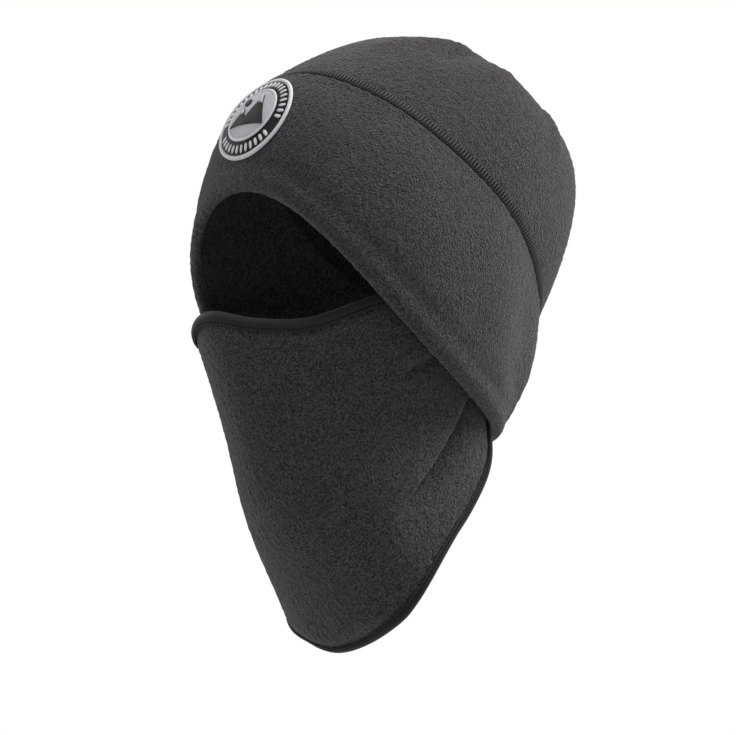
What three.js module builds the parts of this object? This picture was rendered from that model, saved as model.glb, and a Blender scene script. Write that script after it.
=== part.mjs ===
// A fleece balaclava: a two-panel hat with a deep brow band, and a face mask sewn inside the band.
//
// Millimetres, +Z up. The wearer looks along -Y and their left hand is at +X. The origin is the
// middle of the head. The hat is laid out about an axis of its own, which leans back, so a place
// on it has a turn about that axis (0 at the brow, 180 at the nape) and a rise (0 at the hem, 1 at
// the seam where the band meets the crown, 2 at the top). A place on the mask has a turn from the
// nose (0) towards an ear, and a fall (0 at the top edge, 1 at the bottom edge). Depth is measured
// inwards from the outer face of the cloth.
import * as THREE from 'three';
import { mergeVertices } from 'three/addons/utils/BufferGeometryUtils.js';

// Cloth
const SHELL_PLY = 2.4; // outer fleece
const LINING_PLY = 1.8; // inner fleece
const PLY_GAP = 0.4; // between two plies that lie on each other
const SEAM_GAP = 0.4; // between two panels that are sewn edge to edge
const TRIM_GAP = 0.3; // under a stitch, badge or label that lies on the cloth
const STITCH_HEIGHT = 0.8;

// Hat, in its own frame: length runs fore and aft, height runs along its axis
const HAT_LEAN = 41; // degrees that the axis leans back
const HAT_MIDDLE_Y = -7.3;
const HAT_MIDDLE_Z = -2.3;
const HEM_HALF_LENGTH = 97;
const HEM_HALF_WIDTH = 78.6;
const HEM_SHIFT = -10.2; // the hem's middle along the hat's length
const HEM_FRONT_HEIGHT = -4.8;
const HEM_BACK_HEIGHT = 5;
const HEM_EAR_DIP = 25.9;
const SEAM_HALF_LENGTH = 97;
const SEAM_HALF_WIDTH = 82;
const SEAM_SHIFT = -29.7;
const SEAM_HEIGHT = 61.4;
const BAND_BULGE = 8;
const CROWN_HEIGHT = 82.6;
const CROWN_SHIFT = -11.4; // the top's place along the hat's length
const CROWN_SQUARENESS = 0.38; // 1 is an ellipse, less is a flatter top with fuller sides
const CROWN_FRONT_DRAW = 9.5; // how far the cloth draws in above the band at the brow
const CROWN_BACK_DRAW = 6;
const CROWN_SIDE_SWELL = 0.9;

// Hem, stitching and label of the hat
const HEM_RETURN = 12; // height of the cloth folded up inside the hem
const LADDER_WIDTH = 4.8; // flat stitching that bridges a seam
const LABEL_WIDTH = 24;
const LABEL_HEIGHT = 34;
const LABEL_PLY = 0.6;
const LABEL_RISE = 0.35;

// Face mask: level sections from the throat up to the cheekbones, then the two edges
const MASK_LEVEL = [-190, -150, -100, -50, 20];
const MASK_HALF_WIDTH = [42, 58, 59, 58, 69];
const MASK_FRONT = [-22, -36, -68, -88, -115];
const MASK_MIDDLE = [8, 8, 6, 3, -4];
const MASK_BEHIND = 80; // half length of the sections behind their middle
const MASK_WRAP = 125; // degrees from the nose to the end that is sewn into the band
const MASK_TOP_TURN = [0, 25, 45, 70, MASK_WRAP];
const MASK_TOP = [1, -4.4, -3.8, 10, 26.5];
const MASK_BOTTOM_TURN = [0, 30, 60, 90, MASK_WRAP];
const MASK_BOTTOM = [-168, -160.5, -144.5, -107, -46];
const WING_GAP = 2.4; // between the mask's sides and the inside of the band, at the tacks
const WING_GAP_GROWTH = 0.03; // of the distance ahead of and above the tacks, so the mask can turn
const WING_START = 0.14; // rise below the hem down to which the mask keeps to the band's shape
const WING_FADE = 0.4; // further rise over which it leaves that shape
const WING_EASE = 6;
const BINDING_HEIGHT = 5.8;
const BINDING_PLY = 0.8;
const BINDING_GAP = 0.6; // to the plies that it holds
const BINDING_ROUND = 1.6; // how far its folded edge is rounded
const STITCH_WIDTH = 1.0;
const STITCH_INSET = 0.6; // from the binding's free edge

// The tack on each side that holds the mask's rear corner to the inside of the band
const TACK_TURN = 138;
const TACK_RISE = 0.075;
const TACK_RADIUS = 2.5;
const TACK_REACH = 15; // how far inside the band the cloth is looked for
const TACK_RUNNING_GAP = 0.8; // the mask turns about the tack

// Badge on the front of the band
const BADGE_RADIUS = 25;
const BADGE_RISE = 0.55;
const BADGE_ACROSS = 3; // towards the wearer's left
const BADGE_PLY = 0.8;
const BORDER_WIDTH = 1.6;
const BORDER_HEIGHT = 1.6;
const INNER_RING_RADIUS = 16.2;
const INNER_RING_WIDTH = 1.1;
const EMBROIDERY = 0.6; // thread height on the badge's ground
const SUN_RADIUS = 2.4;
const SUN_ACROSS = -6.4;
const SUN_UP = 7.2;

// How finely the cloth is divided
const BAND_COLUMNS = 48;
const CROWN_COLUMNS = BAND_COLUMNS / 4;
const CROWN_ROWS = 10;
const BAND_ROWS = 6;
const ROLL_ROWS = 4;
const MASK_COLUMNS = 32;
const MASK_ROWS = 11;
const BADGE_COLUMNS = 32;
const BADGE_STEP = 8;

const DEGREE = Math.PI / 180;
const LINING_DEPTH = SHELL_PLY + PLY_GAP;
const BAND_DEPTH = 2 * SHELL_PLY + PLY_GAP;
const LEAN_COS = Math.cos(HAT_LEAN * DEGREE);
const LEAN_SIN = Math.sin(HAT_LEAN * DEGREE);
const mix = (a, b, share) => a + (b - a) * share;
const steps = (count) => Array.from({ length: count + 1 }, (_, i) => i / count);

// A smooth curve through values at given places. Places that start at 0 are mirrored about it,
// so the curve is level there.
function throughKnots(places, values, at) {
  const last = places.length - 1;
  const slope = (i) => {
    if (i === 0 && places[0] === 0) return 0;
    const a = Math.max(i - 1, 0);
    const b = Math.min(i + 1, last);
    return (values[b] - values[a]) / (places[b] - places[a]);
  };
  let i = 0;
  while (i < last - 1 && at > places[i + 1]) i += 1;
  const gap = places[i + 1] - places[i];
  const s = (at - places[i]) / gap;
  const rise = values[i + 1] - values[i];
  const startPull = slope(i) * gap - rise;
  const endPull = -slope(i + 1) * gap + rise;
  return values[i] + rise * s + s * (1 - s) * (startPull * (1 - s) + endPull * s);
}

// The oval of the band at a rise, and how high the hem runs at a turn, in the hat's own frame.
function bandOval(rise) {
  const share = Math.min(Math.max(rise, 0), 1);
  const bulge = BAND_BULGE * 4 * share * (1 - share);
  return {
    halfLength: mix(HEM_HALF_LENGTH, SEAM_HALF_LENGTH, share) + bulge,
    halfWidth: mix(HEM_HALF_WIDTH, SEAM_HALF_WIDTH, share) + bulge,
    shift: mix(HEM_SHIFT, SEAM_SHIFT, share),
  };
}
const toBack = (turn) => (1 - Math.cos(turn * DEGREE)) / 2;
function hemHeight(turn) {
  const level = mix(HEM_FRONT_HEIGHT, HEM_BACK_HEIGHT, toBack(turn));
  return level - HEM_EAR_DIP * Math.sin(turn * DEGREE) ** 2;
}

// The hat's outer face. The band goes evenly from the hem's oval to the seam's oval and bulges
// between them. Above it the crown closes in along a squared-off quarter ellipse.
function hatFace(turn, rise) {
  const oval = bandOval(rise);
  const arch = Math.max(rise - 1, 0) * 90 * DEGREE;
  const closing = Math.max(Math.cos(arch), 0) ** CROWN_SQUARENESS;
  const fold = Math.sin(2 * arch);
  const draw = mix(CROWN_FRONT_DRAW, CROWN_BACK_DRAW, toBack(turn)) * fold;
  const halfLength = oval.halfLength * closing - draw;
  const halfWidth = oval.halfWidth * closing + CROWN_SIDE_SWELL * fold;
  const along = mix(oval.shift, CROWN_SHIFT, 1 - closing) - halfLength * Math.cos(turn * DEGREE);
  const height = mix(hemHeight(turn), SEAM_HEIGHT, Math.min(rise, 1)) + CROWN_HEIGHT * Math.sin(arch);
  return new THREE.Vector3(
    halfWidth * Math.sin(turn * DEGREE),
    HAT_MIDDLE_Y + along * LEAN_COS + height * LEAN_SIN,
    HAT_MIDDLE_Z - along * LEAN_SIN + height * LEAN_COS,
  );
}

// The direction straight out of a face. upwards is 1 where the face's second value rises.
function outwardFrom(face, turn, other, upwards) {
  const around = face(turn + 0.5, other).sub(face(turn - 0.5, other));
  const along = face(turn, other + 0.01).sub(face(turn, other - 0.01)).multiplyScalar(upwards);
  return around.cross(along).normalize();
}

// The turn and rise on the band, or below its hem, that a point lies against.
function bandPlace(point) {
  const along = (point.y - HAT_MIDDLE_Y) * LEAN_COS - (point.z - HAT_MIDDLE_Z) * LEAN_SIN;
  const height = (point.y - HAT_MIDDLE_Y) * LEAN_SIN + (point.z - HAT_MIDDLE_Z) * LEAN_COS;
  let turn = 90;
  let rise = 0;
  for (let step = 0; step < 8; step += 1) {
    rise = Math.min((height - hemHeight(turn)) / (SEAM_HEIGHT - hemHeight(turn)), 1);
    const oval = bandOval(rise);
    turn = Math.atan2(point.x / oval.halfWidth, (oval.shift - along) / oval.halfLength) / DEGREE;
  }
  return { turn, rise };
}

// The mask's outer face: level half ovals between a curved top edge and a curved bottom edge.
// Its sides follow the inside of the band where they pass under it, pressed in to clear it fully
// and drawn out to it halfway.
const maskTop = (turn) => throughKnots(MASK_TOP_TURN, MASK_TOP, Math.abs(turn));
const maskBottom = (turn) => throughKnots(MASK_BOTTOM_TURN, MASK_BOTTOM, Math.abs(turn));
function maskOval(turn, level) {
  const middle = throughKnots(MASK_LEVEL, MASK_MIDDLE, level);
  const front = throughKnots(MASK_LEVEL, MASK_FRONT, level);
  const halfLength = Math.abs(turn) > 90 ? MASK_BEHIND : middle - front;
  const halfWidth = throughKnots(MASK_LEVEL, MASK_HALF_WIDTH, level);
  return new THREE.Vector3(
    halfWidth * Math.sin(turn * DEGREE),
    middle - halfLength * Math.cos(turn * DEGREE),
    level,
  );
}
const TACK_PLACE = hatFace(TACK_TURN, TACK_RISE);
function maskFace(turn, fall) {
  const point = maskOval(turn, mix(maskTop(turn), maskBottom(turn), fall));
  const place = bandPlace(point);
  const outward = outwardFrom(hatFace, place.turn, place.rise, 1);
  const depth = hatFace(place.turn, place.rise).sub(point).dot(outward);
  const ahead = Math.max(point.z - TACK_PLACE.z + TACK_PLACE.y - point.y, 0) / Math.SQRT2;
  const room = depth - BAND_DEPTH - WING_GAP - WING_GAP_GROWTH * ahead;
  const under = Math.min(Math.max(1 + (place.rise + WING_START) / WING_FADE, 0), 1);
  const follow = under * under * (3 - 2 * under);
  return point.addScaledVector(outward, follow * (0.75 * room - 0.25 * Math.hypot(room, WING_EASE)));
}

// A place at a depth below the outer face, square to it.
const hatAxis = new THREE.Vector3(0, LEAN_SIN, LEAN_COS);
function inHat(turn, rise, depth) {
  const outward = rise > 1.999 ? hatAxis : outwardFrom(hatFace, turn, rise, 1);
  return hatFace(turn, rise).addScaledVector(outward, -depth);
}
const inMask = (turn, fall, depth) => maskFace(turn, fall)
  .addScaledVector(outwardFrom(maskFace, turn, fall, -1), -depth);

// How much rise or fall one millimetre of cloth takes at a place.
const perMillimetre = (face, turn, from, to) => (to - from) / face(turn, from).distanceTo(face(turn, to));
const bandPerMillimetre = (turn) => perMillimetre(hatFace, turn, 0, 1);
const maskTopPerMillimetre = (turn) => perMillimetre(maskFace, turn, 0, 0.05);
const maskBottomPerMillimetre = (turn) => perMillimetre(maskFace, turn, 0.95, 1);

// A closed body from a sheet of columns by rows. place(column, row, side) gives each corner, with
// side 0 for one face of the sheet and 1 for the other. A ring joins its last column to its first.
// Four-cornered faces are split along their shorter diagonal, so plies that lie on each other match.
function sheetGeometry(columns, rows, place, ring = false) {
  const across = ring ? columns : columns + 1;
  const points = [];
  for (let side = 0; side < 2; side += 1) {
    for (let c = 0; c < across; c += 1) {
      for (let r = 0; r <= rows; r += 1) points.push(place(c, r, side));
    }
  }
  const at = (c, r, side) => (side * across + (c % across)) * (rows + 1) + r;
  const faces = [];
  const quad = (a, b, c, d) => {
    if (points[a].distanceTo(points[c]) < points[b].distanceTo(points[d])) faces.push(a, b, c, a, c, d);
    else faces.push(a, b, d, b, c, d);
  };
  for (let c = 0; c < columns; c += 1) {
    for (let r = 0; r < rows; r += 1) {
      quad(at(c, r, 0), at(c + 1, r, 0), at(c + 1, r + 1, 0), at(c, r + 1, 0));
      quad(at(c, r, 1), at(c, r + 1, 1), at(c + 1, r + 1, 1), at(c + 1, r, 1));
    }
    quad(at(c, 0, 0), at(c, 0, 1), at(c + 1, 0, 1), at(c + 1, 0, 0));
    quad(at(c, rows, 0), at(c + 1, rows, 0), at(c + 1, rows, 1), at(c, rows, 1));
  }
  for (let r = 0; r < rows && !ring; r += 1) {
    quad(at(0, r, 0), at(0, r + 1, 0), at(0, r + 1, 1), at(0, r, 1));
    quad(at(columns, r, 0), at(columns, r, 1), at(columns, r + 1, 1), at(columns, r + 1, 0));
  }
  return closedGeometry(points, faces);
}

// Joins corners that meet, leaves out triangles that closed up, and turns the faces outwards.
function closedGeometry(points, faces) {
  const loose = new THREE.BufferGeometry();
  loose.setAttribute('position', new THREE.Float32BufferAttribute(points.flatMap((p) => p.toArray()), 3));
  loose.setIndex(faces);
  const joined = mergeVertices(loose, 1e-4);
  const corner = (i) => new THREE.Vector3().fromBufferAttribute(joined.attributes.position, i);
  const kept = [];
  let volume = 0;
  for (let i = 0; i < faces.length; i += 3) {
    const [a, b, c] = [0, 1, 2].map((k) => joined.index.getX(i + k));
    if (a === b || b === c || c === a) continue;
    kept.push([a, b, c]);
    volume += corner(a).dot(corner(b).cross(corner(c)));
  }
  joined.setIndex(kept.flatMap(([a, b, c]) => (volume > 0 ? [a, b, c] : [a, c, b])));
  joined.computeVertexNormals();
  return joined;
}

function material(colour, roughness) {
  return new THREE.MeshStandardMaterial({ color: new THREE.Color(colour), roughness, metalness: 0 });
}
const shellFleece = material('#3c393c', 0.95);
const maskFleece = material('#343133', 0.95);
const liningFleece = material('#19181a', 0.97);
const bindingKnit = material('#2b292a', 0.8);
const darkThread = material('#1d1c1e', 0.6);
const whiteThread = material('#dcdbe0', 0.55);
const paleThread = material('#c9c8d0', 0.55);
const labelSatin = material('#d5d5d8', 0.5);

const balaclava = new THREE.Group();
function add(name, geometry, finish) {
  const mesh = new THREE.Mesh(geometry, finish);
  mesh.name = name;
  balaclava.add(mesh);
  return mesh;
}

// Crown: a left and a right half that meet along the middle, each with its lining.
function crownHalf(sign, depth, ply) {
  const firstRise = SEAM_GAP / 2 / CROWN_HEIGHT;
  return sheetGeometry(CROWN_COLUMNS * 2, CROWN_ROWS, (c, r, side) => {
    const climb = mix(firstRise, 1, r / CROWN_ROWS);
    const rise = 2 - (1 - climb) ** (1 / CROWN_SQUARENESS);
    const point = inHat((c / (CROWN_COLUMNS * 2)) * 180, rise, depth + side * ply);
    point.x = sign * (Math.max(point.x, 0) + SEAM_GAP / 2);
    return point;
  });
}
add('crown_left', crownHalf(1, 0, SHELL_PLY), shellFleece.clone());
add('crown_right', crownHalf(-1, 0, SHELL_PLY), shellFleece.clone());
add('crown_lining_left', crownHalf(1, LINING_DEPTH, LINING_PLY), liningFleece.clone());
add('crown_lining_right', crownHalf(-1, LINING_DEPTH, LINING_PLY), liningFleece.clone());

// Brow band: one strip of fleece, down from the seam, round the hem's fold and up inside.
function browBand() {
  const roll = BAND_DEPTH / 2;
  const core = PLY_GAP / 2;
  const path = steps(BAND_ROWS).map((s) => ({ share: 1 - s, depth: [0, SHELL_PLY] }));
  for (const s of steps(ROLL_ROWS).slice(1)) {
    const bend = s * 180 * DEGREE;
    path.push({
      height: [roll - roll * Math.sin(bend), roll - core * Math.sin(bend)],
      depth: [roll - roll * Math.cos(bend), roll - core * Math.cos(bend)],
    });
  }
  path.push({ height: [HEM_RETURN, HEM_RETURN], depth: [BAND_DEPTH, LINING_DEPTH] });
  return sheetGeometry(BAND_COLUMNS, path.length - 1, (c, r, side) => {
    const turn = (c / BAND_COLUMNS) * 360;
    const scale = bandPerMillimetre(turn);
    const { share, height, depth } = path[r];
    const rise = share === undefined ? height[side] * scale
      : mix(roll * scale, 1 - (SEAM_GAP / 2) * scale, share);
    return inHat(turn, rise, depth[side]);
  }, true);
}
const band = add('brow_band', browBand(), shellFleece.clone());

function bandLining() {
  return sheetGeometry(BAND_COLUMNS, BAND_ROWS, (c, r, side) => {
    const turn = (c / BAND_COLUMNS) * 360;
    const scale = bandPerMillimetre(turn);
    const rise = mix((HEM_RETURN + SEAM_GAP) * scale, 1 - (SEAM_GAP / 2) * scale, r / BAND_ROWS);
    return inHat(turn, rise, LINING_DEPTH + side * LINING_PLY);
  }, true);
}
add('band_lining', bandLining(), liningFleece.clone());

// Ladders of flat stitching over the three seams of the hat.
function bandLadder() {
  return sheetGeometry(BAND_COLUMNS, 2, (c, r, side) => {
    const turn = (c / BAND_COLUMNS) * 360;
    const away = (r - 1) * (LADDER_WIDTH / 2);
    const rise = away < 0 ? 1 + away * bandPerMillimetre(turn) : 1 + away / (CROWN_HEIGHT * 90 * DEGREE);
    return inHat(turn, rise, -TRIM_GAP - side * STITCH_HEIGHT);
  }, true);
}
add('band_seam_stitch', bandLadder(), darkThread.clone());

function crownLadder() {
  const clearOfBandLadder = (LADDER_WIDTH / 2 + SEAM_GAP) / CROWN_HEIGHT;
  const rows = 2 * CROWN_ROWS;
  return sheetGeometry(1, rows, (c, r, side) => {
    const climb = Math.max(1 - Math.abs(r - CROWN_ROWS) / CROWN_ROWS, clearOfBandLadder);
    const rise = 2 - (1 - climb) ** (1 / CROWN_SQUARENESS);
    const point = inHat(r > CROWN_ROWS ? 180 : 0, rise, -TRIM_GAP - side * STITCH_HEIGHT);
    point.x = (c - 0.5) * LADDER_WIDTH;
    return point;
  });
}
add('crown_seam_stitch', crownLadder(), darkThread.clone());

function backLadder() {
  const scale = bandPerMillimetre(180);
  const low = BAND_DEPTH * scale;
  const high = 1 - (LADDER_WIDTH / 2 + SEAM_GAP) * scale;
  return sheetGeometry(1, BAND_ROWS, (c, r, side) => {
    const point = inHat(180, mix(low, high, r / BAND_ROWS), -TRIM_GAP - side * STITCH_HEIGHT);
    point.x = (c - 0.5) * LADDER_WIDTH;
    return point;
  });
}
add('back_seam_stitch', backLadder(), darkThread.clone());

// A blank label sewn to the lining at the nape.
function sizeLabel() {
  const scale = bandPerMillimetre(180);
  const depth = LINING_DEPTH + LINING_PLY + TRIM_GAP;
  const columns = 4;
  const rows = 2;
  return sheetGeometry(columns, rows, (c, r, side) => {
    const turn = 180 - ((c / columns - 0.5) * LABEL_WIDTH) / (HEM_HALF_WIDTH * DEGREE);
    return inHat(turn, LABEL_RISE + (r / rows) * LABEL_HEIGHT * scale, depth + side * LABEL_PLY);
  });
}
add('size_label', sizeLabel(), labelSatin.clone());

// Face mask: an outer and an inner ply, whose edges sit inside the folded bindings.
function maskPly(depth, ply) {
  const edge = BINDING_PLY + BINDING_GAP;
  return sheetGeometry(MASK_COLUMNS, MASK_ROWS, (c, r, side) => {
    const turn = mix(-MASK_WRAP, MASK_WRAP, c / MASK_COLUMNS);
    const top = maskTopPerMillimetre(turn);
    const bottom = maskBottomPerMillimetre(turn);
    const between = mix(BINDING_HEIGHT * top, 1 - BINDING_HEIGHT * bottom, (r - 1) / (MASK_ROWS - 2));
    const fall = r === 0 ? edge * top : r === MASK_ROWS ? 1 - edge * bottom : between;
    return inMask(turn, fall, depth + side * ply);
  });
}
const shellOfMask = add('mask_shell', maskPly(0, SHELL_PLY), maskFleece.clone());
add('mask_lining', maskPly(LINING_DEPTH, LINING_PLY), liningFleece.clone());

// A binding is a strip folded over an edge: an outer leg, a rounded fold and an inner leg.
function binding(atTop) {
  const legs = {
    outer: -BINDING_GAP - BINDING_PLY,
    inner: LINING_DEPTH + LINING_PLY + BINDING_GAP + BINDING_PLY,
  };
  const path = [
    { in: [BINDING_HEIGHT, BINDING_HEIGHT], depth: [legs.outer, legs.outer + BINDING_PLY] },
    { in: [BINDING_ROUND, BINDING_ROUND], depth: [legs.outer, legs.outer + BINDING_PLY] },
    { in: [0, BINDING_PLY], depth: [legs.outer + BINDING_ROUND, legs.outer + BINDING_PLY] },
    { in: [0, BINDING_PLY], depth: [legs.inner - BINDING_ROUND, legs.inner - BINDING_PLY] },
    { in: [BINDING_ROUND, BINDING_ROUND], depth: [legs.inner, legs.inner - BINDING_PLY] },
    { in: [BINDING_HEIGHT, BINDING_HEIGHT], depth: [legs.inner, legs.inner - BINDING_PLY] },
  ];
  return sheetGeometry(MASK_COLUMNS, path.length - 1, (c, r, side) => {
    const turn = mix(-MASK_WRAP, MASK_WRAP, c / MASK_COLUMNS);
    const inwards = path[r].in[side];
    const fall = atTop ? inwards * maskTopPerMillimetre(turn) : 1 - inwards * maskBottomPerMillimetre(turn);
    return inMask(turn, fall, path[r].depth[side]);
  });
}
add('mask_top_binding', binding(true), bindingKnit.clone());
add('mask_bottom_binding', binding(false), bindingKnit.clone());

function bindingStitch(atTop) {
  const inner = BINDING_HEIGHT - STITCH_INSET;
  return sheetGeometry(MASK_COLUMNS, 1, (c, r, side) => {
    const turn = mix(-MASK_WRAP, MASK_WRAP, c / MASK_COLUMNS);
    const inwards = inner - r * STITCH_WIDTH;
    const fall = atTop ? inwards * maskTopPerMillimetre(turn) : 1 - inwards * maskBottomPerMillimetre(turn);
    return inMask(turn, fall, -BINDING_GAP - BINDING_PLY - TRIM_GAP - side * STITCH_HEIGHT);
  });
}
add('mask_top_stitch', bindingStitch(true), darkThread.clone());
add('mask_bottom_stitch', bindingStitch(false), darkThread.clone());

// A tack fills the space between the mask's outer face and the inner face of the folded hem.
function tack(sign) {
  const sides = 10;
  const outward = outwardFrom(hatFace, sign * TACK_TURN, TACK_RISE, 1);
  const middle = inHat(sign * TACK_TURN, TACK_RISE, BAND_DEPTH + WING_GAP);
  const sideways = new THREE.Vector3(0, 0, 1).cross(outward).normalize();
  const upwards = outward.clone().cross(sideways);
  const meetings = (from, mesh) => new THREE.Raycaster(from, outward).intersectObject(mesh)
    .map((hit) => hit.point);
  for (const mesh of [shellOfMask, band]) mesh.material.side = THREE.DoubleSide;
  return sheetGeometry(sides, 1, (c, r, side) => {
    const angle = (c / sides) * 2 * Math.PI;
    const from = middle.clone().addScaledVector(outward, -TACK_REACH)
      .addScaledVector(sideways, r * TACK_RADIUS * Math.cos(angle))
      .addScaledVector(upwards, r * TACK_RADIUS * Math.sin(angle));
    if (side) return meetings(from, shellOfMask).at(-1).addScaledVector(outward, TACK_RUNNING_GAP);
    return meetings(from, band)[0].addScaledVector(outward, -TRIM_GAP);
  }, true);
}
add('tack_left', tack(1), darkThread.clone());
add('tack_right', tack(-1), darkThread.clone());

// Badge: a place on it is millimetres across and up from its middle, lifted off the band.
function onBadge(across, up, lift) {
  const turn = (BADGE_ACROSS + across) / ((HEM_HALF_WIDTH + BAND_BULGE) * DEGREE);
  return inHat(turn, BADGE_RISE + up * bandPerMillimetre(0), -TRIM_GAP - lift);
}
function badgeRing(innerRadius, outerRadius, lift, height) {
  return sheetGeometry(BADGE_COLUMNS, 1, (c, r, side) => {
    const angle = (c / BADGE_COLUMNS) * 2 * Math.PI;
    const radius = r ? outerRadius : innerRadius;
    return onBadge(radius * Math.cos(angle), radius * Math.sin(angle), lift + side * height);
  }, true);
}
function badgeDisc(radius, lift, height, across = 0, up = 0) {
  const rows = Math.ceil(radius / BADGE_STEP);
  return sheetGeometry(BADGE_COLUMNS, rows, (c, r, side) => {
    const angle = (c / BADGE_COLUMNS) * 2 * Math.PI;
    const out = (radius * r) / rows;
    return onBadge(across + out * Math.cos(angle), up + out * Math.sin(angle), lift + side * height);
  }, true);
}
const GROUND_RADIUS = BADGE_RADIUS - BORDER_WIDTH - TRIM_GAP;
const RAISED = BADGE_PLY + TRIM_GAP;
const FIELD_RADIUS = INNER_RING_RADIUS - INNER_RING_WIDTH - TRIM_GAP;
add('badge_ground', badgeDisc(GROUND_RADIUS, 0, BADGE_PLY), darkThread.clone());
const border = badgeRing(BADGE_RADIUS - BORDER_WIDTH, BADGE_RADIUS, 0, BORDER_HEIGHT);
add('badge_border', border, whiteThread.clone());
const innerRing = badgeRing(INNER_RING_RADIUS - INNER_RING_WIDTH, INNER_RING_RADIUS, RAISED, EMBROIDERY);
add('badge_inner_ring', innerRing, whiteThread.clone());
add('badge_field', badgeDisc(FIELD_RADIUS, RAISED, EMBROIDERY), paleThread.clone());

// Two mountain peaks on the field: the ridge is given by its height at places across.
function badgePeaks() {
  const across = [-0.84, -0.62, -0.44, -0.28, -0.16, 0.04, 0.24, 0.44, 0.64, 0.84];
  const height = [0, 0.4, 0.72, 0.44, 0.36, 0.82, 1.28, 0.82, 0.42, 0];
  const foot = -0.5 * FIELD_RADIUS;
  return sheetGeometry(across.length - 1, 2, (c, r, side) => {
    const up = foot + (height[c] * FIELD_RADIUS * r) / 2;
    return onBadge(across[c] * FIELD_RADIUS, up, RAISED + EMBROIDERY + TRIM_GAP + side * EMBROIDERY);
  });
}
add('badge_peaks', badgePeaks(), darkThread.clone());

// A small sun beside the taller peak.
function badgeSun() {
  const lift = RAISED + EMBROIDERY + TRIM_GAP;
  return badgeDisc(SUN_RADIUS, lift, EMBROIDERY, SUN_ACROSS, SUN_UP);
}
add('badge_sun', badgeSun(), darkThread.clone());

export default balaclava;
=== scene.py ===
import bmesh
import bpy
import numpy as np
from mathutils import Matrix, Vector


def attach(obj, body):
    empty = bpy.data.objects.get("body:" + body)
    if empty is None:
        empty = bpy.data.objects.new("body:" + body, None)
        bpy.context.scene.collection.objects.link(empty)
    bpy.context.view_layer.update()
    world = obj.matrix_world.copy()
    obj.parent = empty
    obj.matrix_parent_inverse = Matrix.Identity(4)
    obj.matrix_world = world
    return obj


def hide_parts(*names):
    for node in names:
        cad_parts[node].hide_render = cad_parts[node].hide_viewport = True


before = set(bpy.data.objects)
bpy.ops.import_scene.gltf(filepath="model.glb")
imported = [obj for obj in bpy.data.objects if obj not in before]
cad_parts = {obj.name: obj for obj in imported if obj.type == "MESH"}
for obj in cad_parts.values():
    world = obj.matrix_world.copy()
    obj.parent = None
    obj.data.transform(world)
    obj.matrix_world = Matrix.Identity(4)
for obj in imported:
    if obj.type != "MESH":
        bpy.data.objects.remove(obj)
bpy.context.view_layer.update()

# A fleece balaclava, worked out in millimetres and put into the meshes in metres. The wearer looks
# along -Y, +Z is up and the origin is the middle of the head. A place on the hat has a turn (0 at
# the brow, 180 at the nape) and a rise (0 at the hem, 1 at the band's seam, 2 at the top). A place
# on the mask has a turn from the nose and a fall (0 at the top edge, 1 at the bottom edge). The
# hat's lean, middle, ovals, heights, bulge and crown, the mask's half widths, fronts, middles and
# edges, and the camera's angles are rounded results of a least-squares fit to the outline.
MM = 0.001

SHELL_PLY = 2.4
LINING_PLY = 1.8
PLY_GAP = 0.4
SEAM_GAP = 0.4
LINING_DEPTH = SHELL_PLY + PLY_GAP
BAND_DEPTH = 2 * SHELL_PLY + PLY_GAP
INSIDE_DEPTH = LINING_DEPTH + LINING_PLY
MIDDLE_DEPTH = INSIDE_DEPTH / 2

HAT_LEAN = np.radians(41)
HAT_MIDDLE = (-7.3, -2.3)
HEM_OVAL = (97.0, 78.6, -10.2)
SEAM_OVAL = (97.0, 82.0, -29.7)
BAND_BULGE = 8
SEAM_HEIGHT = 61.4
HEM_HEIGHT = (-4.8, 5.0)
HEM_EAR_DIP = 25.9
CROWN_HEIGHT = 82.6
CROWN_SHIFT = -11.4
CROWN_SQUARENESS = 0.38
CROWN_DRAW = (9.5, 6.0)
CROWN_SIDE_SWELL = 0.9
HEM_RETURN = 12
HEM_STITCH_HEIGHT = 9.4
BAND_CLOTH = 66
CROWN_CLOTH = 130
# Millimetres of cloth to a degree of turn: round the hat, at its nape and round the mask.
HAT_SPAN = 1.45
NAPE_SPAN = 1.5
MASK_SPAN = 1.2
LADDER_WIDTH = 3.9
RUNG_PITCH = 1.85

MASK_LEVEL = [-190, -150, -100, -50, 20]
MASK_HALF_WIDTH = [42, 58, 59, 58, 69]
MASK_FRONT = [-22, -36, -68, -88, -115]
MASK_MIDDLE = [8, 8, 6, 3, -4]
MASK_BEHIND = 80
MASK_WRAP = 125
MASK_TOP_TURN = [0, 25, 45, 70, MASK_WRAP]
MASK_TOP = [1, -4.4, -3.8, 10, 26.5]
MASK_BOTTOM_TURN = [0, 30, 60, 90, MASK_WRAP]
MASK_BOTTOM = [-168, -160.5, -144.5, -107, -46]
WING_GAP = 2.0
WING_GAP_GROWTH = 0.04
WING_FADE = 0.6
WING_EASE = 5
BINDING_HEIGHT = 5.8
BINDING_HALF_DEPTH = 3.7
BINDING_PLY = 0.8
STITCH_LINE = 4.8
STITCH_PITCH = 2.2
STITCH_DEPTH = -1.3
PLEAT_TURN = [60, 85, 110]
PLEAT_FALL = [0.73, 0.61, 0.4]
PLEAT_RIDGE = 2.4
PLEAT_DROP = 7.5
PLEAT_STEP = 1.5
TACK_TURN = 138
TACK_RISE = 0.075
TACK_RADIUS = 2.2

BADGE_RADIUS = 25
BADGE_RISE = 0.55
BADGE_ACROSS = 4.6
BORDER_WIDTH = 1.6
INNER_RING_RADIUS = 16.2
INNER_RING_WIDTH = 1.1
DASH_REACH = (17.8, 22.2)


def mix(a, b, share):
    """The value that lies this share of the way from a to b."""
    return a + (b - a) * share


def eased(t):
    """0 below 0 and 1 above 1, with an S-shaped cubic between them."""
    t = np.clip(t, 0, 1)
    return t * t * (3 - 2 * t)


def hump(x, middle, width):
    """A bell of height 1 at the middle, which has fallen to a third at one width from it."""
    return np.exp(-(((x - middle) / width) ** 2))


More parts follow.
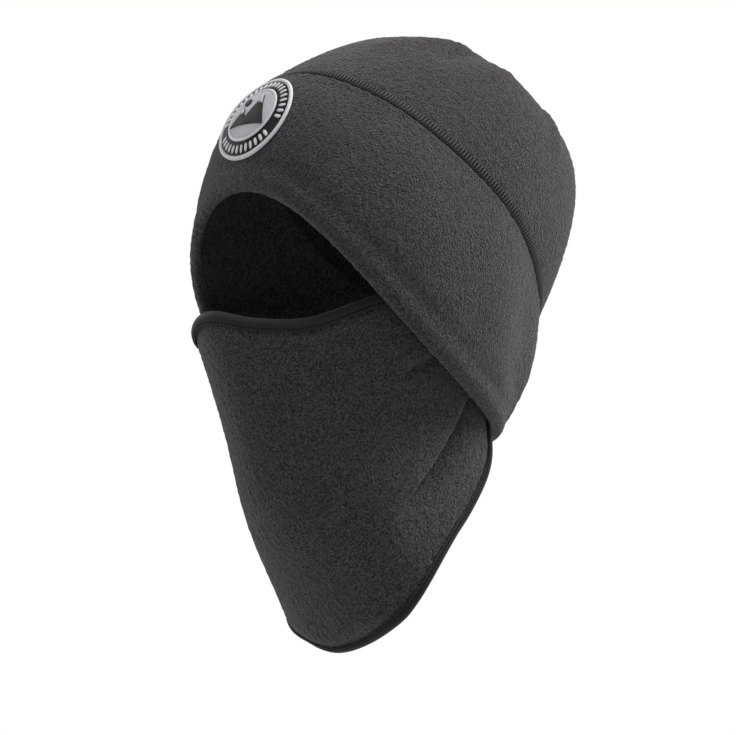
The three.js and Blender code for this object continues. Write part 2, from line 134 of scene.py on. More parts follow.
def through(places, values, at):
    """A smooth curve through values at places: a cubic on each stretch, whose end slopes are
    those of the chords across its neighbours. It is level at a first place of 0."""
    places, values = np.asarray(places, float), np.asarray(values, float)
    slope = np.empty_like(values)
    slope[1:-1] = (values[2:] - values[:-2]) / (places[2:] - places[:-2])
    slope[0] = 0 if places[0] == 0 else (values[1] - values[0]) / (places[1] - places[0])
    slope[-1] = (values[-1] - values[-2]) / (places[-1] - places[-2])
    at = np.asarray(at, float)
    i = np.clip(np.searchsorted(places, at) - 1, 0, len(places) - 2)
    gap, rise = places[i + 1] - places[i], values[i + 1] - values[i]
    s = (at - places[i]) / gap
    pull = (slope[i] * gap - rise) * (1 - s) + (rise - slope[i + 1] * gap) * s
    return values[i] + rise * s + s * (1 - s) * pull


def band_oval(rise):
    """Half length, half width and shift of the band at a rise: an even change from the hem's oval
    to the seam's, plus a bulge that is a parabola between them."""
    share = np.clip(rise, 0, 1)
    bulge = BAND_BULGE * 4 * share * (1 - share)
    length, width, shift = (mix(a, b, share) for a, b in zip(HEM_OVAL, SEAM_OVAL))
    return length + bulge, width + bulge, shift


def hem_height(turn):
    """The hem's height along the hat's axis: even from brow to nape, dipped at the ears by the
    square of the turn's sine."""
    a = np.radians(turn)
    return mix(*HEM_HEIGHT, (1 - np.cos(a)) / 2) - HEM_EAR_DIP * np.sin(a) ** 2


def hat_face(turn, rise):
    """The hat's outer face. Below the seam, an oval at each rise; above it, that oval closes by
    the cosine of the arch to a power, while the height rises by the arch's sine. The whole is
    then leant back."""
    turn, rise = np.broadcast_arrays(np.asarray(turn, float), np.asarray(rise, float))
    a = np.radians(turn)
    length, width, shift = band_oval(rise)
    arch = np.clip(rise - 1, 0, 1) * np.pi / 2
    closing = np.clip(np.cos(arch), 0, 1) ** CROWN_SQUARENESS
    fold = np.sin(2 * arch)
    length = length * closing - mix(*CROWN_DRAW, (1 - np.cos(a)) / 2) * fold
    width = width * closing + CROWN_SIDE_SWELL * fold
    along = mix(shift, CROWN_SHIFT, 1 - closing) - length * np.cos(a)
    height = mix(hem_height(turn), SEAM_HEIGHT, np.minimum(rise, 1)) + CROWN_HEIGHT * np.sin(arch)
    return np.stack(
        [
            width * np.sin(a),
            HAT_MIDDLE[0] + along * np.cos(HAT_LEAN) + height * np.sin(HAT_LEAN),
            HAT_MIDDLE[1] - along * np.sin(HAT_LEAN) + height * np.cos(HAT_LEAN),
        ],
        -1,
    )


TACK_PLACE = hat_face(TACK_TURN, TACK_RISE)


def unit(v):
    """v at length 1."""
    return v / np.maximum(np.linalg.norm(v, axis=-1, keepdims=True), 1e-9)


def outward(face, turn, other, upwards=1):
    """The direction square to a face: the cross product of its changes with turn and with its
    second value."""
    around = face(turn + 0.5, other) - face(turn - 0.5, other)
    along = (face(turn, other + 0.01) - face(turn, other - 0.01)) * upwards
    return unit(np.cross(around, along))


def crown_rise(climb):
    """The rise at a share of the way up the crown, spaced evenly over the cloth."""
    return 2 - (1 - climb) ** (1 / CROWN_SQUARENESS)


def seam_rise(up):
    """The rise at a height in millimetres above the band's seam, up the crown's steep foot."""
    return 1 + 2 / np.pi * np.arcsin(np.clip(up / CROWN_HEIGHT, 0, 1))


def band_tall(turn):
    """The band's height in millimetres of cloth at a turn."""
    return np.linalg.norm(hat_face(turn, np.ones_like(turn)) - hat_face(turn, 0 * turn), axis=-1)


def crease(u, v, start, end, width):
    """How near places are to a line between two points: a bell of their distance from it."""
    along = np.subtract(end, start)
    du, dv = u - start[0], v - start[1]
    t = np.clip((du * along[0] + dv * along[1]) / (along @ along), 0, 1)
    return np.exp(-((du - t * along[0]) ** 2 + (dv - t * along[1]) ** 2) / width**2)


def hat_folds(turn, rise):
    """How far the worn cloth stands off its even shape: slow waves that cross each other, and
    single soft folds. Folds are laid out in millimetres of cloth, back from the brow and up from
    the band's seam."""
    turn, rise = np.broadcast_arrays(np.asarray(turn, float), np.asarray(rise, float))
    a = np.radians(turn)
    climb = 1 - np.clip(2 - rise, 0, 1) ** CROWN_SQUARENESS
    u = HAT_SPAN * np.abs(turn)
    v = np.where(rise < 1, (rise - 1) * BAND_CLOTH, climb * CROWN_CLOTH)
    slow = 0.6 * np.sin(2 * a + 3.1 * rise) + 0.45 * np.sin(5 * a - 2.3 * rise + 1.3)
    slow = slow + 0.3 * np.sin(9 * a + 5.2 * rise + 0.4)
    single = 1.5 * crease(u, v, (34, 20), (62, 38), 7) - 1.6 * crease(u, v, (68, 26), (78, 45), 6)
    single += 1.2 * crease(u, v, (92, 34), (97, 42), 5) + 1.3 * crease(u, v, (136, 47), (148, 30), 5)
    single -= 4.0 * crease(u, v, (186, -22), (214, -46), 21)
    return (slow + 1.2 * single) * eased(rise * 2.5) * eased((2 - rise) * 3)


def on_hat(turn, rise, depth, folds=1.0):
    """A place at a depth below the hat's outer face, square to it, moved out by the folds."""
    turn, rise = np.broadcast_arrays(np.asarray(turn, float), np.asarray(rise, float))
    axis = np.array([0, np.sin(HAT_LEAN), np.cos(HAT_LEAN)])
    out = np.where((rise > 1.999)[..., None], axis, outward(hat_face, turn, np.minimum(rise, 1.995)))
    lift = folds * hat_folds(turn, rise) - depth
    return hat_face(turn, rise) + out * np.asarray(lift)[..., None]


def band_place(point):
    """The turn and rise on the band that a point lies against, found in eight rounds."""
    y, z = point[..., 1] - HAT_MIDDLE[0], point[..., 2] - HAT_MIDDLE[1]
    along = y * np.cos(HAT_LEAN) - z * np.sin(HAT_LEAN)
    height = y * np.sin(HAT_LEAN) + z * np.cos(HAT_LEAN)
    turn = np.full(along.shape, 90.0)
    for _ in range(8):
        low = hem_height(turn)
        rise = np.minimum((height - low) / (SEAM_HEIGHT - low), 1)
        length, width, shift = band_oval(rise)
        turn = np.degrees(np.arctan2(point[..., 0] / width, (shift - along) / length))
    return turn, rise


def mask_face(turn, fall):
    """The mask's outer face: level half ovals between the curved top and bottom edges, pressed in
    where they pass behind the band so that they lie just inside it. The gap to the band
    grows ahead of and above the tacks, so that the mask can turn, and the press grows as a power
    of the way up to the hem. At the chin the bottom edge curls back under by the square of the
    way down to it."""
    turn, fall = np.broadcast_arrays(np.asarray(turn, float), np.asarray(fall, float))
    a = np.radians(turn)
    top = through(MASK_TOP_TURN, MASK_TOP, np.abs(turn))
    level = mix(top, through(MASK_BOTTOM_TURN, MASK_BOTTOM, np.abs(turn)), fall)
    middle = through(MASK_LEVEL, MASK_MIDDLE, level)
    reach = np.where(np.abs(turn) > 90, MASK_BEHIND, middle - through(MASK_LEVEL, MASK_FRONT, level))
    half = through(MASK_LEVEL, MASK_HALF_WIDTH, level)
    point = np.stack([half * np.sin(a), middle - reach * np.cos(a), level], -1)
    place = band_place(point)
    out = outward(hat_face, place[0], 0.3)
    depth = ((hat_face(*place) - point) * out).sum(-1)
    ahead = np.maximum((np.array([0, -1.0, 1]) * (point - TACK_PLACE)).sum(-1), 0)
    room = depth - BAND_DEPTH - WING_GAP - WING_GAP_GROWTH * ahead
    follow = np.clip(1 + (place[1] - 0.05) / WING_FADE, 0, 1) ** 3.2
    point = point + out * (follow * (0.75 * room - 0.25 * np.hypot(room, WING_EASE)))[..., None]
    curl = eased((62 - np.abs(turn)) / 40) * np.clip((fall - 0.92) / 0.08, 0, 1.2) ** 2
    return point + curl[..., None] * np.array([0.0, 10.0, 4.0])


def past_pleat(turn, fall):
    """How far below the pleat's line a place is, in millimetres, the share of the pleat's full
    depth there, which is nothing at the cheek and grows to the hem, and how far down it is."""
    side = np.abs(turn)
    tall = through(MASK_TOP_TURN, MASK_TOP, side) - through(MASK_BOTTOM_TURN, MASK_BOTTOM, side)
    past = (fall - through(PLEAT_TURN, PLEAT_FALL, side)) * tall
    return past, eased((side - 60) / 24) * eased((122 - side) / 10), fall * tall


def mask_folds(turn, fall):
    """How far the mask's cloth stands off its even shape: slow waves, a pleat on each side whose
    front lies over its back, so the height steps down across its line and eases off both ways,
    and a short crease under each hem."""
    turn, fall = np.broadcast_arrays(np.asarray(turn, float), np.asarray(fall, float))
    a = np.radians(turn)
    slow = 0.4 * np.sin(4 * a + 5 * fall) + 0.3 * np.sin(7 * a - 4 * fall + 2)
    past, deep, down = past_pleat(turn, fall)
    front = PLEAT_RIDGE * np.exp(-np.abs(past) / 18) * (1 - 0.9 * np.exp(-np.abs(past) / 3))
    back = -PLEAT_DROP * np.exp(-np.abs(past - PLEAT_STEP) / 12)
    step = mix(0.1 * PLEAT_RIDGE, -PLEAT_DROP, eased(past / PLEAT_STEP))
    pleat = np.where(past < 0, front, np.where(past > PLEAT_STEP, back, step))
    across = MASK_SPAN * np.abs(turn)
    dent = crease(across, down, (90, 39), (99, 34), 2.8)
    swell = crease(across, down, (88, 34), (97, 29), 4)
    return slow + deep * pleat - 2.0 * dent + 0.8 * swell


def pleat_slide(turn, fall):
    """How far the cloth slides down its own face at the pleat: the front runs on over the line
    and the back starts from under it, so the fold overhangs."""
    past, deep, _ = past_pleat(turn, fall)
    front, back = 2.2 * eased((past + 9) / 8), -1.2 * eased((10 - past) / 8)
    return deep * np.where(past < 0, front, mix(front, back, eased(past / PLEAT_STEP)))


def on_mask(turn, fall, depth, folds=1.0):
    """A place at a depth below the mask's outer face, square to it, moved out by the folds."""
    turn, fall = np.broadcast_arrays(np.asarray(turn, float), np.asarray(fall, float))
    lift = folds * mask_folds(turn, fall) - depth
    down = unit(mask_face(turn, fall + 0.01) - mask_face(turn, fall - 0.01))
    slide = down * (folds * pleat_slide(turn, fall))[..., None]
    return mask_face(turn, fall) + slide + outward(mask_face, turn, fall, -1) * np.asarray(lift)[..., None]


def pile(points, size, seed):
    """The tufts of a pile: the mean of forty plane waves of about this size in random directions,
    at about unit height."""
    rng = np.random.default_rng(seed)
    waves = unit(rng.normal(size=(40, 3))) * (2 * np.pi / size / rng.uniform(0.7, 1.6, (40, 1)))
    return np.sin(points @ waves.T + rng.uniform(0, 6.28, 40)).sum(-1) / np.sqrt(20)


def tufted(points, height, size, seed):
    """A grid of points moved along its own normals by the pile's tufts. A normal is the cross
    product of the grid's changes both ways."""
    a, b = np.gradient(points, axis=0), np.gradient(points, axis=1)
    out = unit(np.cross(a, b))
    return points + out * (height * pile(points, size, seed))[..., None]


def grid_faces(columns, rows, ring=False, loop=False, first=0):
    """Corner numbers of the four-cornered faces between a grid's points. A ring joins the last
    column to the first, and a loop the last row to the first."""
    c = np.arange(columns if ring else columns - 1)[:, None]
    r = np.arange(rows if loop else rows - 1)[None]
    here, there, up = c * rows, (c + 1) % columns * rows, (r + 1) % rows
    return np.stack([here + r, there + r, there + up, here + up], -1).reshape(-1, 4) + first


def put(name, points, faces, finish, body, nodes=(), cloth=None, weld=0.0):
    """A smooth closed mesh with outward faces, from points in millimetres, that rides on a body
    and stands for CAD nodes. cloth is each point's place on the flat cloth. Points that meet are
    welded."""
    mesh = bpy.data.meshes.new(name)
    mesh.from_pydata((points.reshape(-1, 3) * MM).tolist(), [], faces.tolist())
    if cloth is not None:
        flat = mesh.attributes.new("cloth", "FLOAT_VECTOR", "POINT")
        flat.data.foreach_set("vector", (cloth.reshape(-1, 3) * MM).ravel().astype(np.float32))
    work = bmesh.new()
    work.from_mesh(mesh)
    if weld:
        bmesh.ops.remove_doubles(work, verts=work.verts, dist=weld * MM)
    bmesh.ops.recalc_face_normals(work, faces=work.faces)
    work.to_mesh(mesh)
    work.free()
    mesh.shade_smooth()
    mesh.materials.append(finish[0])
    piece = bpy.data.objects.new(name, mesh)
    bpy.context.scene.collection.objects.link(piece)
    if nodes:
        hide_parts(*nodes)
    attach(piece, body)
    return piece


def two_faced(outer, inner):
    """Points and faces of a closed ply from the grids of its two faces, joined round the rim."""
    columns, rows = outer.shape[:2]
    back = columns * rows
    face = grid_faces(columns, rows)
    c, r = np.arange(columns - 1) * rows, np.arange(rows - 1)
    last = back - rows
    rims = [(c, c + rows), (c + rows + rows - 1, c + rows - 1), (r + 1, r), (last + r, last + r + 1)]
    rim = np.concatenate([np.stack([a, a + back, b + back, b], -1) for a, b in rims])
    return np.concatenate([outer, inner]), np.concatenate([face, face[:, ::-1] + back, rim])


def around(points):
    """Points and faces of a ring swept by a closed profile, (columns, profile)."""
    return points, grid_faces(*points.shape[:2], ring=True, loop=True)


def length_of(points):
    """Each row of places along a line, as its distance from the first."""
    step = np.linalg.norm(np.diff(points, axis=0), axis=-1)
    return np.concatenate([[0], np.cumsum(step)])


def evenly(line, low, high, pitch):
    """Values from low to high whose places on a line are a pitch apart: the line's length is
    added up along many values and read backwards."""
    values = np.linspace(low, high, 4000)
    far = length_of(line(values))
    count = round(far[-1] / pitch)
    return np.interp(np.arange(count + 1) * (far[-1] / count), far, values)


def threads(lines, outs, width, height, sides=6):
    """Points and faces of short threads along lines, (threads, steps, 3): an oval ring round each
    step, across the line and along outs, which shrinks to a point at both ends by a circle's
    root."""
    count, steps = lines.shape[:2]
    along = unit(np.gradient(lines, axis=1))
    across = unit(np.cross(along, outs))
    s = np.linspace(-1, 1, steps)
    taper = np.sqrt(np.clip(1 - np.abs(s) ** 3.5, 0.0004, 1))[None, :, None, None]
    angle = np.arange(sides) * 2 * np.pi / sides
    ring = width * np.cos(angle)[None, None, :, None] * across[:, :, None]
    ring = ring + height * np.sin(angle)[None, None, :, None] * outs[:, :, None]
    points = lines[:, :, None] + ring * taper / 2
    each = grid_faces(steps, sides, loop=True)
    faces = (np.arange(count)[:, None, None] * steps * sides + each).reshape(-1, 4)
    caps = np.arange(count)[:, None] * steps * sides
    fan = np.array([[0, 1, 2, 3], [0, 3, 4, 5]]) if sides == 6 else np.array([[0, 1, 2, 3]])
    starts = caps[:, :, None] + fan
    ends = [starts.reshape(-1, 4), (starts + (steps - 1) * sides).reshape(-1, 4)]
    return points.reshape(-1, 3), np.concatenate([faces, *ends])


def gathered(*parts):
    """Several sets of points and faces as one."""
    starts = np.cumsum([0] + [len(p) for p, _ in parts])
    faces = np.concatenate([f + n for (_, f), n in zip(parts, starts)])
    return np.concatenate([p for p, _ in parts]), faces


def material(name, colour, roughness, sheen, sheen_roughness=0.5):
    """A named material with its even values set, and its nodes, links and shader."""
    made = bpy.data.materials.new(name)
    made.use_nodes = True
    tree = made.node_tree
    shader = tree.nodes["Principled BSDF"]
    shader.inputs["Base Color"].default_value = (*colour, 1)
    shader.inputs["Roughness"].default_value = roughness
    shader.inputs["Sheen Weight"].default_value = sheen
    shader.inputs["Sheen Roughness"].default_value = sheen_roughness
    shader.inputs["Specular IOR Level"].default_value = 0.25
    return made, tree, shader


def places(tree, cloth=False):
    """Where a pattern is read: the object's own coordinates, or the piece's flat cloth."""
    if cloth:
        node = tree.nodes.new("ShaderNodeAttribute")
        node.attribute_name = "cloth"
        return node.outputs["Vector"]
    return tree.nodes.new("ShaderNodeTexCoord").outputs["Object"]


def noise(tree, where, size, detail=3.0, roughness=0.6, distortion=0.0):
    """Cloudy noise whose clouds are about this many millimetres across."""
    node = tree.nodes.new("ShaderNodeTexNoise")
    node.inputs["Scale"].default_value = 1 / (size * MM)
    node.inputs["Detail"].default_value = detail
    node.inputs["Roughness"].default_value = roughness
    node.inputs["Distortion"].default_value = distortion
    tree.links.new(where, node.inputs["Vector"])
    return node.outputs["Fac"]


def ribs(tree, where, size, direction="X", distortion=0.0):
    """Even waves, this many millimetres from one to the next."""
    node = tree.nodes.new("ShaderNodeTexWave")
    node.bands_direction = direction
    node.inputs["Scale"].default_value = 0.314 / (size * MM)
    node.inputs["Distortion"].default_value = distortion
    node.inputs["Detail"].default_value = 1
    tree.links.new(where, node.inputs["Vector"])
    return node.outputs["Fac"]


def ramp(tree, value, *stops):
    """A colour, or a grey, read from a value by the stops on either side of it."""
    node = tree.nodes.new("ShaderNodeValToRGB")
    while len(node.color_ramp.elements) < len(stops):
        node.color_ramp.elements.new(0.5)
    for element, (place, colour) in zip(node.color_ramp.elements, stops):
        element.position = place
        element.color = (*colour, 1) if hasattr(colour, "__len__") else (colour, colour, colour, 1)
    tree.links.new(value, node.inputs["Fac"])
    return node.outputs["Color"]


def times(tree, a, b):
    """Two colours multiplied."""
    node = tree.nodes.new("ShaderNodeMix")
    node.data_type, node.blend_type = "RGBA", "MULTIPLY"
    node.inputs["Factor"].default_value = 1
    tree.links.new(a, node.inputs["A"])
    tree.links.new(b, node.inputs["B"])
    return node.outputs["Result"]


def relief(tree, shader, *layers):
    """Bumps laid over each other, each a (value, height in millimetres, strength)."""
    normal = None
    for value, height, strength in layers:
        node = tree.nodes.new("ShaderNodeBump")
        node.inputs["Strength"].default_value = strength
        node.inputs["Distance"].default_value = height * MM
        tree.links.new(value, node.inputs["Height"])
        if normal is not None:
            tree.links.new(normal, node.inputs["Normal"])
        normal = node.outputs["Normal"]
    tree.links.new(normal, shader.inputs["Normal"])


def shade(colour, amount):
    """A colour made lighter or darker."""
    return tuple(c * amount for c in colour)


def fleece(slot, colour, tuft=0.95, depth=1.0, sheen=0.3):
    """Brushed fleece: curly tufts, with painted shade in the valleys between them and a painted
    highlight on their tops, finer fibres on the tufts whose dips are painted darker too, and a
    slow change of tone where the pile has been pressed."""
    made, tree, shader = material(slot, colour, 0.95, sheen, 0.35)
    where = places(tree)
    tufts = noise(tree, where, tuft, 1.0, 0.5, 0.6)
    fibres = noise(tree, where, tuft / 3, 1.0, 0.6)
    pressed = noise(tree, where, 26, 2.0, 0.5)
    # Painted shade and highlight: the tone follows the tufts' and fibres' own bumps, darker in their
    # valleys and lighter on their tops.
    tone = ramp(tree, tufts, (0.33, shade(colour, 0.35)), (0.5, colour), (0.67, shade(colour, 1.9)))
    tone = times(tree, tone, ramp(tree, fibres, (0.3, 0.7), (0.7, 1.0)))
    tone = times(tree, tone, ramp(tree, pressed, (0.3, 0.9), (0.7, 1.0)))
    tree.links.new(tone, shader.inputs["Base Color"])
    relief(tree, shader, (tufts, 1.4 * depth, 0.9), (fibres, 0.35, 0.6))
    return made, slot


def knit(slot, colour):
    """Smooth stretch binding: fine ribs across the strip and a faint mottle."""
    made, tree, shader = material(slot, colour, 0.7, 0.1)
    fine = ribs(tree, places(tree, True), 0.55)
    mottle = noise(tree, places(tree), 1.4, 3.0)
    tone = ramp(tree, mottle, (0.3, shade(colour, 0.8)), (0.7, shade(colour, 1.25)))
    tone = times(tree, tone, ramp(tree, fine, (0.1, 0.8), (0.6, 1.0)))
    tree.links.new(tone, shader.inputs["Base Color"])
    relief(tree, shader, (fine, 0.12, 0.5), (mottle, 0.2, 0.35))
    return made, slot


def thread(slot, colour, pitch=0.0, direction="X", roughness=0.45, name=None):
    """Twisted thread, or a fill of threads side by side at a pitch, with a little lustre."""
    made, tree, shader = material(name or slot, colour, roughness, min(0.3, 4 * colour[0]), 0.4)
    strands = noise(tree, places(tree), 0.35, 2.0)
    layers = [(strands, 0.1, 0.5)]
    tone = ramp(tree, strands, (0.3, shade(colour, 0.72)), (0.65, colour))
    if pitch:
        fill = ribs(tree, places(tree, True), pitch, direction, 0.6)
        tone = times(tree, tone, ramp(tree, fill, (0.05, 0.62), (0.5, 1.0)))
        layers.insert(0, (fill, 0.22, 0.8))
    tree.links.new(tone, shader.inputs["Base Color"])
    relief(tree, shader, *layers)
    return made, slot


def satin(slot, colour):
    """Woven label satin: a close weave of crossing ribs."""
    made, tree, shader = material(slot, colour, 0.4, 0.1)
    warp = ribs(tree, places(tree, True), 0.3, "X")
    weft = ribs(tree, places(tree, True), 0.36, "Y")
    tone = ramp(tree, warp, (0.1, shade(colour, 0.82)), (0.6, colour))
    tone = times(tree, tone, ramp(tree, weft, (0.1, 0.88), (0.6, 1.0)))
    tree.links.new(tone, shader.inputs["Base Color"])
    relief(tree, shader, (warp, 0.06, 0.5), (weft, 0.06, 0.5))
    return made, slot


HAT_FLEECE = fleece("hat_fleece", (0.0465, 0.0415, 0.046), depth=1.7, sheen=0.26)
MASK_FLEECE = fleece("mask_fleece", (0.047, 0.0425, 0.0445), sheen=0.2)
# Painted light: the lining is given a grey lighter than the outer fleece's, which lifts the shade inside
# the hat and mask.
LINING_FLEECE = fleece("lining_fleece", (0.098, 0.091, 0.096), 1.1, 0.8, 0.06)
BINDING_KNIT = knit("binding_knit", (0.012, 0.0095, 0.0098))
DARK_THREAD = thread("dark_thread", (0.003, 0.0028, 0.003), roughness=0.7)
# Painted shade: a near-black finish for the sheet under each ladder, which darkens the gaps between its
# rungs.
SEAM_SHADE_SHEET = thread("dark_thread", (0.004, 0.0035, 0.004), name="seam_shade_sheet")
LADDER_THREAD = thread("dark_thread", (0.07, 0.064, 0.07), name="ladder_thread")
DARK_FILL = thread("dark_thread", (0.012, 0.012, 0.013), 0.5, "Y", name="dark_fill")
WHITE_THREAD = thread("white_thread", (0.74, 0.74, 0.78))
PALE_FILL = thread("pale_thread", (0.72, 0.72, 0.77), 0.45, "Y")
LABEL_SATIN = satin("label_satin", (0.68, 0.68, 0.7))


def crown_panel(name, sign, node, depth, ply, finish, seed):
    """Half of the crown: the hat's face over half a turn and up to the top, let in along the
    middle seam and under the band's lip by a bell of the distance from each."""
    columns = 216
    turn = sign * np.linspace(0, 180, columns)[:, None]
    rise = evenly(lambda r: hat_face(90 + 0 * r, r), seam_rise(0.2), 2, 1.2)[None]
    up = CROWN_HEIGHT * np.sin((rise - 1) * np.pi / 2)
    tuck = 1.2 * hump(hat_face(turn, rise)[..., 0], 0, 2.2) + 0.9 * hump(up, 0, 4.5)

    def face(deep):
        p = on_hat(turn, rise, deep + tuck)
        p[..., 0] = sign * (np.maximum(sign * p[..., 0], 0) + SEAM_GAP / 2)
        return p

    outer, inner = face(depth), face(depth + ply)
    if depth:
        inner = tufted(inner, 0.12, 3.6, seed)
    else:
        outer = tufted(outer, 0.13, 3.2, seed)
    return put(name, *two_faced(outer, inner), finish, "hat", [node], weld=0.01)


def band_dips(turn, height):
    """How far the band is let in: along the seam at the nape, with gathers beside it that run
    out as a bell, and less a soft swell above the hem's fold."""
    off = (180 - np.abs(turn)) * NAPE_SPAN
    gathers = 0.35 * np.cos(2 * np.pi * height / 9) * hump(off, 0, 13)
    return 1.2 * hump(off, 0, 1.8) + gathers - 0.7 * hump(height, 5.5, 3.8) + 0.5 * hump(height, 13, 4)


def swept_band(profile, turn, seed, tufts=0.13):
    """A ring of cloth round the hat: a closed profile of (share, height, depth) carried through
    every turn. A point's rise is its share of the band plus its height in millimetres."""
    share, height, depth = (np.concatenate(part)[None] for part in zip(*profile))
    tall = band_tall(turn)[:, None]
    rise = share + height / tall
    lift = 0.5 * hump(rise * tall, tall - 1.4, 2.2) * (depth < 1.3)
    p = on_hat(turn[:, None], rise, depth + band_dips(turn[:, None], rise * tall) - lift)
    return tufted(p, tufts, 3.2, seed)


def stretch(count, share, height, depth):
    """One stretch of a profile, each value running evenly from its first to its second."""
    return [np.linspace(*pair, count) for pair in (share, height, depth)]


def bend(count, share, middle, radius, first, last):
    """A round stretch of a profile about (height, depth), between two angles from deep to high."""
    angle = np.linspace(first, last, count) * np.pi
    height, depth = middle[0] + radius * np.sin(angle), middle[1] + radius * np.cos(angle)
    return [np.full(count, float(share)), height, depth]


def brow_band():
    """The outer strip: a rounded lip at the seam, down the face, half round the hem's fold, up
    inside to a rounded edge, and back along its own inner side."""
    roll, half = BAND_DEPTH / 2, SHELL_PLY / 2
    profile = [
        bend(7, 1, (-half, half), half, 0, 1),
        stretch(56, (0.99, 0), (-half, roll + 0.8), (0, 0)),
        bend(11, 0, (roll, roll), -roll, 0, 1),
        stretch(8, (0, 0), (roll + 0.8, HEM_RETURN - half), (BAND_DEPTH, BAND_DEPTH)),
        bend(6, 0, (HEM_RETURN - half, LINING_DEPTH + half), half, 0.1, 1),
        stretch(5, (0, 0), (HEM_RETURN - 2, roll + 0.4), (LINING_DEPTH, LINING_DEPTH)),
        bend(4, 0, (roll, roll), -PLY_GAP / 2, 1, 0),
        stretch(8, (0, 0.98), (roll + 0.4, -half), (SHELL_PLY, SHELL_PLY)),
    ]
    turn = np.linspace(-180, 180, 501)[:-1]
    points = swept_band(profile, turn, 5)
    return put("brow_band_cloth", *around(points), HAT_FLEECE, "hat", ["brow_band"])


def band_lining():
    """The inner strip, from the folded-up hem to the seam, as a closed flat profile."""
    low = HEM_RETURN + SEAM_GAP
    profile = [
        stretch(8, (0, 1), (low, -0.3), (LINING_DEPTH, LINING_DEPTH)),
        stretch(44, (1, 0), (-0.6, low + 0.3), (INSIDE_DEPTH, INSIDE_DEPTH)),
    ]
    points = swept_band(profile, np.linspace(-180, 180, 401)[:-1], 6)
    return put("band_lining_cloth", *around(points), LINING_FLEECE, "hat", ["band_lining"])


crown_left = crown_panel("crown_left_cloth", 1, "crown_left", 0, SHELL_PLY, HAT_FLEECE, 1)
crown_right = crown_panel("crown_right_cloth", -1, "crown_right", 0, SHELL_PLY, HAT_FLEECE, 2)
crown_lining_left = crown_panel(
    "crown_lining_left_cloth", 1, "crown_lining_left", LINING_DEPTH, LINING_PLY, LINING_FLEECE, 3
)
crown_lining_right = crown_panel(
    "crown_lining_right_cloth", -1, "crown_lining_right", LINING_DEPTH, LINING_PLY, LINING_FLEECE, 4
)
band = brow_band()
lining = band_lining()


def ladder(name, line, normal, first, last, nodes):
    """Flat stitching along a seam. line(value, across) gives places beside the seam. Rungs cross
    it at a pitch, over a near-black sheet that is painted shade for the seam's groove, and short
    stitches run along both sides."""
    at = evenly(lambda v: line(v, 0 * v), first, last, RUNG_PITCH)
    across = np.linspace(-0.5, 0.5, 7) * LADDER_WIDTH
    step = (at[-1] - at[0]) / (len(at) - 1)
    rung_at = at[:, None] + 0 * across
    rungs = threads(line(rung_at, 0 * rung_at + across), normal(rung_at), 0.85, 0.8)
    rails = []
    for side in (-0.5, 0.5):
        v = at[:-1, None] + step * np.linspace(0.06, 0.94, 4)
        rails.append(threads(line(v, 0 * v + side * LADDER_WIDTH), normal(v), 0.35, 0.4))
    # Painted shade: a near-black sheet just over the fleece under the rungs, which darkens the gaps as the
    # seam's groove would be shaded.
    bed_at = np.linspace(first, last, 300)[:, None]
    bed = [line(bed_at, 0 * bed_at + across[None]) - normal(bed_at) * d for d in (0.1, 0.4)]
    put(name + "_ground", *two_faced(*bed), SEAM_SHADE_SHEET, "hat")
    points, faces = gathered(rungs, *rails)
    return put(name, points, faces, LADDER_THREAD, "hat", nodes, weld=0.02)


def band_seam_place(turn, across):
    """Beside the band's seam: a little above it on the crown, lying in the seam's groove."""
    up = across + 3.1
    return on_hat(turn, seam_rise(np.maximum(up, 0.2)), 0.9 * hump(up, 0, 4.5) - 0.6)


def crown_seam_place(climb, across):
    """Beside the crown's middle seam: climb runs from 0 at the brow over the top to 2 at the
    nape, and across moves a place sideways."""
    back = climb > 1
    up = np.where(back, 2 - climb, climb)
    p = on_hat(np.where(back, 180.0, 0.0), crown_rise(up), 1.2 * hump(across, 0, 2.2) - 0.45)
    p[..., 0] = across
    return p


def back_seam_place(rise, across):
    """Beside the band's seam at the nape."""
    turn = 180 - across / NAPE_SPAN
    tall = band_tall(np.array([180.0]))[0]
    return on_hat(turn, rise, band_dips(turn, rise * tall) - 0.45)


def crown_seam_normal(climb):
    """The direction out of the crown along its middle seam."""
    back = climb > 1
    up = np.minimum(np.where(back, 2 - climb, climb), 0.97)
    return outward(hat_face, np.where(back, 180.0, 0.0), crown_rise(up))


def band_seam_normal(turn):
    """The direction out of the crown just above the band's seam."""
    return outward(hat_face, turn, 1.03 + 0 * turn)


def back_seam_normal(rise):
    """The direction out of the band at the nape."""
    return outward(hat_face, 180 + 0 * rise, rise)


ladder("band_seam_ladder", band_seam_place, band_seam_normal, -180, 180, ["band_seam_stitch"])
ladder("crown_seam_ladder", crown_seam_place, crown_seam_normal, 0.018, 1.982, ["crown_seam_stitch"])
ladder("back_seam_ladder", back_seam_place, back_seam_normal, 0.12, 0.94, ["back_seam_stitch"])


def seam_tapes():
    """Soft tape over the seams inside: a ring along the band's seam, and a strip along the
    crown's, a little proud of the lining."""
    profile = [stretch(9, (1, 1), (-3.5, 2.0), (5.1, 5.1)), stretch(9, (1, 1), (2.0, -3.5), (3.3, 3.3))]
    ring = swept_band(profile, np.linspace(-180, 180, 301)[:-1], 9, 0.08)
    put("band_seam_tape", *around(ring), LINING_FLEECE, "hat")
    climb, across = np.linspace(0.0, 2.0, 241)[:, None], np.linspace(-3.2, 3.2, 9)[None]
    back = climb > 1
    turn, rise = np.where(back, 180.0, 0.0), crown_rise(np.where(back, 2 - climb, climb))
    faces = []
    for depth in (5.2, 3.3):
        p = on_hat(turn + 0 * across, rise, depth)
        p[..., 0] = across
        faces.append(p)
    put("crown_seam_tape", *two_faced(*faces), LINING_FLEECE, "hat")


seam_tapes()


def edge_step(turn, top):
    """The fall that one millimetre of cloth takes at the mask's top or bottom edge."""
    a, b = (0, 0.05) if top else (0.95, 1)
    return (b - a) / np.linalg.norm(mask_face(turn, a) - mask_face(turn, b), axis=-1)


